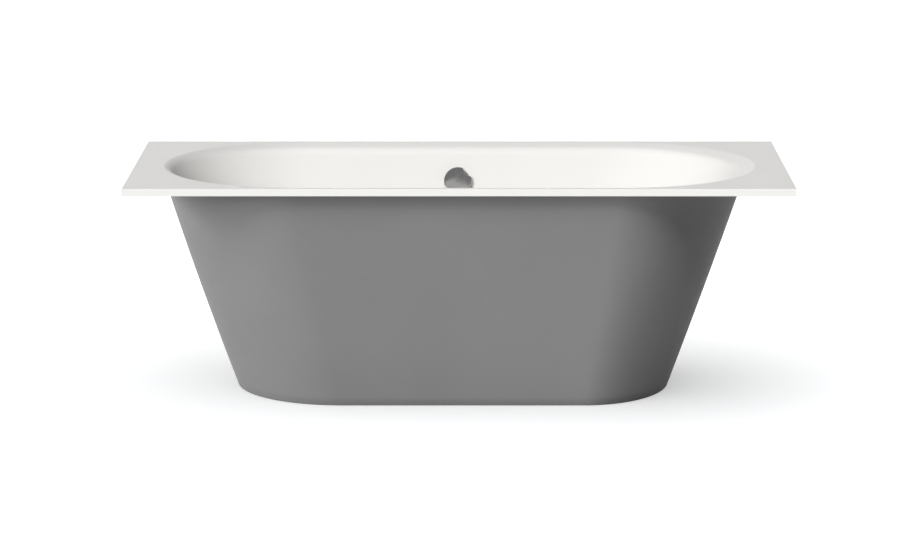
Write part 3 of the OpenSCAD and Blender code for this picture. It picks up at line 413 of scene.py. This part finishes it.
def make_cap():
    groove, crown_r = SKIRT_R - GROOVE_DEPTH, CAP_R - CROWN_INSET
    profile = [(0, SKIRT_FOOT), (SKIRT_R, SKIRT_FOOT), (SKIRT_R, GROOVE_LOW), (groove, GROOVE_LOW),
               (groove, GROOVE_HIGH), (SKIRT_R, GROOVE_HIGH), (SKIRT_R, 0), (CAP_R - RIM_FOOT_R, 0)]
    profile += arc(CAP_R - RIM_FOOT_R, RIM_FOOT_R, RIM_FOOT_R, *RIM_FOOT_ARC) + [(CAP_R, RIM_TOP)]
    profile += arc(CAP_R - RIM_TOP_R, RIM_TOP, RIM_TOP_R, *RIM_TOP_ARC)
    profile += [(crown_r - crown_r * s, CROWN_FOOT + CROWN_RISE * math.sin(math.pi / 2 * s))
                for s in CROWN_SHARES]
    profile += [(0, CROWN_FOOT + CROWN_RISE)]
    points, faces = lathe(profile, CAP_STEPS)
    at = Matrix.Translation((SERVICE_X, WASTE_Y, WASTE_Z + NEAR_GAP))
    return mesh_object("plug_dome", placed(points, at), faces)


# Materials

MIX_SHARE, MIX_A, MIX_B, MIX_COLOUR = 0, 6, 7, 2        # a colour mix node's sockets and its output


class Nodes:
    """Short calls for the node tree of a material or world."""

    def __init__(self, owner):
        owner.use_nodes = True
        self.tree = owner.node_tree

    def add(self, kind, **settings):
        node = self.tree.nodes.new(kind)
        for key, value in settings.items():
            setattr(node, key, value)
        return node

    def wire(self, a, b):
        self.tree.links.new(a, b)

    def feed(self, value, target):
        """Sets the socket target to a number, or wires a socket to it."""
        if isinstance(value, (float, int)):
            target.default_value = value
        else:
            self.wire(value, target)

    def math(self, operation, a, b=None):
        node = self.add("ShaderNodeMath", operation=operation)
        self.wire(a, node.inputs[0])
        if b is not None:
            self.feed(b, node.inputs[1])
        return node.outputs[0]

    def split(self, vector):
        """The X, Y and Z of a vector, as the outputs of a node."""
        node = self.add("ShaderNodeSeparateXYZ")
        self.wire(vector, node.inputs["Vector"])
        return node.outputs

    def spread(self, value, low, high, from_low=0.3, from_high=0.7, way="LINEAR"):
        """A value from the range from_low to from_high, as one from low to high."""
        node = self.add("ShaderNodeMapRange", interpolation_type=way)
        ends = (("From Min", from_low), ("From Max", from_high), ("To Min", low), ("To Max", high))
        for key, end in ends:
            node.inputs[key].default_value = end
        self.wire(value, node.inputs["Value"])
        return node.outputs["Result"]

    def pick(self, share, a, b):
        """The shader a mixed with b by share."""
        node = self.add("ShaderNodeMixShader")
        for slot, value in enumerate((share, a, b)):
            self.wire(value, node.inputs[slot])
        return node.outputs[0]

    def seen_by(self, *kinds):
        """1 for rays of the light path kinds given, 0 for all others."""
        path = self.add("ShaderNodeLightPath")
        share = path.outputs[kinds[0]]
        for kind in kinds[1:]:
            share = self.math("MAXIMUM", share, path.outputs[kind])
        return share


class Finish(Nodes):
    """A material with one Principled shader, and patterns in the piece's own coordinates."""

    def __init__(self, name):
        self.mat = bpy.data.materials.new(name)
        super().__init__(self.mat)
        self.shader = self.tree.nodes["Principled BSDF"]
        self.coords = self.add("ShaderNodeTexCoord").outputs["Object"]

    def set(self, **values):
        for key, value in values.items():
            self.shader.inputs[key.replace("_", " ")].default_value = value

    def stretched(self, scale):
        """The piece's coordinates times scale along each axis."""
        node = self.add("ShaderNodeMapping")
        node.inputs["Scale"].default_value = scale
        self.wire(self.coords, node.inputs["Vector"])
        return node.outputs["Vector"]

    def noise(self, scale, detail, rough=0.5, vector=None, distortion=0.0):
        node = self.add("ShaderNodeTexNoise")
        node.inputs["Scale"].default_value = scale
        node.inputs["Detail"].default_value = detail
        node.inputs["Roughness"].default_value = rough
        node.inputs["Distortion"].default_value = distortion
        self.wire(vector or self.coords, node.inputs["Vector"])
        return node.outputs["Fac"]

    def ramp(self, value, stops):
        """Stops of (place, colour), where a colour is red, green and blue, or one grey."""
        node = self.add("ShaderNodeValToRGB")
        ramp = node.color_ramp
        while len(ramp.elements) < len(stops):
            ramp.elements.new(0.5)
        for element, (place, colour) in zip(ramp.elements, stops):
            element.position = place
            element.color = (*colour, 1) if len(colour) == 3 else (*colour * 3, 1)
        self.wire(value, node.inputs["Fac"])
        return node.outputs["Color"]

    def mix(self, a, b, share, blend="MIX"):
        node = self.add("ShaderNodeMix", data_type="RGBA", blend_type=blend)
        for slot, value in ((MIX_A, a), (MIX_B, b), (MIX_SHARE, share)):
            self.feed(value, node.inputs[slot])
        return node.outputs[MIX_COLOUR]

    def bump(self, *layers):
        """Layers of (height, strength, distance), from the coarsest."""
        normal = None
        for height, strength, distance in layers:
            node = self.add("ShaderNodeBump")
            node.inputs["Strength"].default_value = strength
            node.inputs["Distance"].default_value = distance
            self.wire(height, node.inputs["Height"])
            if normal:
                self.wire(normal, node.inputs["Normal"])
            normal = node.outputs["Normal"]
        self.wire(normal, self.shader.inputs["Normal"])

    def colour(self, value):
        self.wire(value, self.shader.inputs["Base Color"])

    def roughness(self, value):
        self.wire(value, self.shader.inputs["Roughness"])


def white_shell():
    m = Finish("white_shell")
    m.set(Specular_IOR_Level=0.08)
    m.colour(m.ramp(m.noise(3, 2), [(0.3, (0.744, 0.735, 0.718)), (0.7, (0.752, 0.743, 0.726))]))
    m.roughness(m.spread(m.noise(9, 3), 0.36, 0.42))
    return m.mat


def grey_casing():
    m = Finish("grey_casing")
    m.set(Specular_IOR_Level=0.08)
    fine = m.noise(900, 2, 0.6)
    base = m.ramp(m.noise(4, 4), [(0.3, (0.214, 0.214, 0.213)), (0.7, (0.228, 0.228, 0.227))])
    m.colour(m.mix(base, m.ramp(fine, [(0.35, (0.93,)), (0.65, (1.04,))]), 1.0, "MULTIPLY"))
    m.roughness(m.spread(m.noise(60, 3), 0.52, 0.64))
    m.bump((m.noise(6, 2), 0.10, 0.0008), (fine, 0.18, 0.0002))
    return m.mat


def chrome():
    m = Finish("chrome")
    m.set(Metallic=1.0)
    smear = m.noise(40, 4, 0.6, distortion=0.6)
    m.colour(m.ramp(smear, [(0.3, (0.56, 0.56, 0.555)), (0.7, (0.60, 0.60, 0.60))]))
    m.roughness(m.spread(smear, 0.09, 0.17))
    m.bump((m.noise(900, 2), 0.03, 0.00005))
    return m.mat


def galvanised():
    m = Finish("galvanised_steel")
    m.set(Metallic=1.0)
    cells = m.add("ShaderNodeTexVoronoi")
    cells.inputs["Scale"].default_value = 160
    m.wire(m.coords, cells.inputs["Vector"])
    shade = m.add("ShaderNodeSeparateColor")
    m.wire(cells.outputs["Color"], shade.inputs["Color"])
    spangle, cloud = m.math("MULTIPLY", shade.outputs[0], 0.6), m.math("MULTIPLY", m.noise(70, 4), 0.4)
    blend = m.math("ADD", spangle, cloud)
    m.colour(m.ramp(blend, [(0.15, (0.43, 0.45, 0.47)), (0.85, (0.66, 0.68, 0.70))]))
    m.roughness(m.spread(blend, 0.30, 0.48, 0.2, 0.8))
    m.bump((m.noise(500, 3), 0.12, 0.0002))
    return m.mat


def rubber():
    m = Finish("black_rubber")
    m.colour(m.ramp(m.noise(120, 4), [(0.3, (0.016, 0.016, 0.017)), (0.7, (0.030, 0.030, 0.031))]))
    m.roughness(m.spread(m.noise(60, 3), 0.58, 0.78))
    m.bump((m.noise(900, 3, 0.7), 0.25, 0.0002))
    return m.mat


def grey_plastic():
    m = Finish("grey_plastic")
    m.set(Specular_IOR_Level=0.45)
    m.colour(m.ramp(m.noise(18, 4), [(0.3, (0.58, 0.59, 0.595)), (0.7, (0.64, 0.65, 0.65))]))
    m.roughness(m.spread(m.noise(90, 3), 0.30, 0.42))
    flow = m.noise(12, 2, vector=m.stretched((1, 1, 6)))
    m.bump((flow, 0.08, 0.0008), (m.noise(1200, 2), 0.06, 0.0001))
    return m.mat


def dark_nylon():
    m = Finish("dark_nylon")
    m.colour(m.ramp(m.noise(30, 4), [(0.3, (0.042, 0.042, 0.046)), (0.7, (0.058, 0.058, 0.062))]))
    m.roughness(m.spread(m.noise(150, 3), 0.42, 0.58))
    m.bump((m.noise(1400, 2), 0.20, 0.0002))
    return m.mat


PLIES = 0.0043              # height of a light and a dark ply together
FACE_UP = 0.7               # a face whose normal has more Z than this shows the grain, not the plies


def birch_board():
    m = Finish("birch_board")
    grain = m.noise(9, 6, 0.6, m.stretched((1.5, 26, 1)), 0.4)
    face = m.ramp(grain, [(0.3, (0.50, 0.34, 0.19)), (0.5, (0.63, 0.47, 0.29)),
                          (0.7, (0.70, 0.55, 0.37))])
    layer = m.math("FRACT", m.math("MULTIPLY", m.split(m.coords)["Z"], 1 / PLIES))
    plies = m.ramp(layer, [(0.0, (0.62, 0.46, 0.29)), (0.47, (0.66, 0.50, 0.33)),
                           (0.53, (0.36, 0.23, 0.13)), (0.97, (0.42, 0.28, 0.16))])
    up = m.split(m.add("ShaderNodeNewGeometry").outputs["Normal"])["Z"]
    m.colour(m.mix(plies, face, m.math("GREATER_THAN", m.math("ABSOLUTE", up), FACE_UP)))
    m.roughness(m.spread(grain, 0.62, 0.8))
    m.bump((grain, 0.25, 0.0006))
    return m.mat


MATERIALS = {
    "white_shell": white_shell(), "grey_casing": grey_casing(), "chrome": chrome(),
    "galvanised_steel": galvanised(), "black_rubber": rubber(), "grey_plastic": grey_plastic(),
    "dark_nylon": dark_nylon(), "birch_board": birch_board(),
}
SLOT_OF = {p["node"]: p["material_slot"] for p in frame["record"]["subparts"]}


def dress(obj, slot):
    obj.data.materials.clear()
    obj.data.materials.append(MATERIALS[slot])


for node, obj in frame["nodes"].items():
    for place in obj.material_slots:
        place.material = MATERIALS[SLOT_OF[node]]
    if not obj.material_slots:
        obj.data.materials.append(MATERIALS[SLOT_OF[node]])

casing = make_casing()
for piece, node, body in (
        (make_basin(), "basin", "tub"), (casing, "outer_casing", "tub"),
        (make_knob(), "overflow_knob", "knob"), (make_cap(), "plug_cap", "plug")):
    dress(piece, SLOT_OF[node])
    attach(piece, body)
    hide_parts(node)


# Floor and world

WHITE = (1, 1, 1, 1)
FLOOR_REACH = 40
FLOOR_LIT = (0.55, 0.55, 0.55, 1)               # to light that bounces off it
FLOOR_SEEN, FLOOR_GLOW = (0.92, 0.93, 0.94, 1), 0.35        # to the camera and to reflections
ROOM_LIGHT = 0.07                               # the world's light on surfaces
ROOM_BEFORE, ROOM_BEHIND = 0.25, 1.0            # what reflections see before and behind the tub
ROOM_TURN = 0.3                                 # the Y of a direction in which one becomes the other


def make_floor():
    r = FLOOR_REACH
    floor = mesh_object("floor", [(-r, -r, 0), (r, -r, 0), (r, r, 0), (-r, r, 0)], [(0, 1, 2, 3)])
    mat = bpy.data.materials.new("pale_floor")
    n = Nodes(mat)
    n.tree.nodes.clear()
    out = n.add("ShaderNodeOutputMaterial")
    lit, shaded = n.add("ShaderNodeBsdfDiffuse"), n.add("ShaderNodeBsdfDiffuse")
    lit.inputs["Color"].default_value = FLOOR_LIT
    shaded.inputs["Color"].default_value = FLOOR_SEEN
    glow = n.add("ShaderNodeEmission")
    glow.inputs["Strength"].default_value = FLOOR_GLOW
    seen = n.add("ShaderNodeAddShader")
    n.wire(shaded.outputs[0], seen.inputs[0])
    n.wire(glow.outputs[0], seen.inputs[1])
    share = n.seen_by("Is Camera Ray", "Is Glossy Ray", "Is Transmission Ray")
    n.wire(n.pick(share, lit.outputs[0], seen.outputs[0]), out.inputs["Surface"])
    floor.data.materials.append(mat)
    return floor


def make_world():
    """White to the camera. Reflections see white behind the tub and the dim room before it."""
    world = bpy.data.worlds.new("studio")
    bpy.context.scene.world = world
    n = Nodes(world)
    n.tree.nodes.clear()

    def background(strength):
        node = n.add("ShaderNodeBackground")
        node.inputs["Color"].default_value = WHITE
        n.feed(strength, node.inputs["Strength"])
        return node.outputs[0]

    out = n.add("ShaderNodeOutputWorld")
    way = n.split(n.add("ShaderNodeTexCoord").outputs["Generated"])["Y"]
    room = n.spread(way, ROOM_BEFORE, ROOM_BEHIND, -ROOM_TURN, ROOM_TURN, "SMOOTHSTEP")
    unseen = n.pick(n.seen_by("Is Glossy Ray"), background(ROOM_LIGHT), background(room))
    through = n.seen_by("Is Camera Ray", "Is Transmission Ray")
    n.wire(n.pick(through, unseen, background(1.0)), out.inputs["Surface"])


# Lamps

LAMP_DISTANCE = 6           # where a lamp's object stands; the light of a sun doesn't depend on it


def sun(name, azimuth, elevation, strength, spread, only=(), but=()):
    """A lamp whose light comes from azimuth (degrees left of the front) and elevation. strength is what
    a white face that looks at it shows, spread its width in degrees, which softens its shadows.
    It lights only the objects of only, or all but those of but, and reflections don't show it."""
    data = bpy.data.lights.new(name, "SUN")
    data.energy = math.pi * strength
    data.angle = math.radians(spread)
    obj = link(bpy.data.objects.new(name, data))
    obj.visible_glossy = False
    a, e = math.radians(azimuth), math.radians(elevation)
    towards = Vector((-math.sin(a) * math.cos(e), -math.cos(a) * math.cos(e), math.sin(e)))
    obj.rotation_euler = towards.to_track_quat("Z", "Y").to_euler()
    obj.location = towards * LAMP_DISTANCE
    lit = bpy.data.collections.new(name + "_lights")
    for target in (*only, *but):
        lit.objects.link(target)
    for place in lit.collection_objects:
        place.light_linking.link_state = "EXCLUDE" if but else "INCLUDE"
    obj.light_linking.receiver_collection = lit


floor = make_floor()
make_world()
sun("top", azimuth=0, elevation=85, strength=0.18, spread=60, but=(floor, casing))
sun("front", azimuth=12, elevation=22, strength=0.98, spread=25, but=(floor, casing))
sun("left", azimuth=104, elevation=22, strength=0.32, spread=40, but=(floor, casing))
sun("casing_front", azimuth=-10, elevation=64, strength=1.16, spread=32, only=(casing,))
sun("casing_left", azimuth=66, elevation=12, strength=1.20, spread=36, only=(casing,))
sun("back", azimuth=178, elevation=5, strength=0.75, spread=20, but=(floor, casing))
sun("casing_back", azimuth=178, elevation=8, strength=0.85, spread=60, only=(casing,))
sun("floor_soft", azimuth=50, elevation=80, strength=0.86, spread=110, only=(floor,))


# Camera, solved from the photo

CAMERA_LENS, CAMERA_SENSOR, CAMERA_SHIFT_X, CAMERA_REACH = 135.2, 36, -0.0108, 200
CAMERA_AT, CAMERA_TILT = (0.0274, -8.940, 2.0905), math.radians(78.69)

camera = bpy.data.cameras.new("camera")
camera.lens = CAMERA_LENS
camera.sensor_width = CAMERA_SENSOR
camera.shift_x = CAMERA_SHIFT_X
camera.clip_end = CAMERA_REACH
view = link(bpy.data.objects.new("camera", camera))
view.location = CAMERA_AT
view.rotation_euler = (CAMERA_TILT, 0, 0)
bpy.context.scene.camera = view
bpy.context.scene.view_settings.view_transform = "Standard"
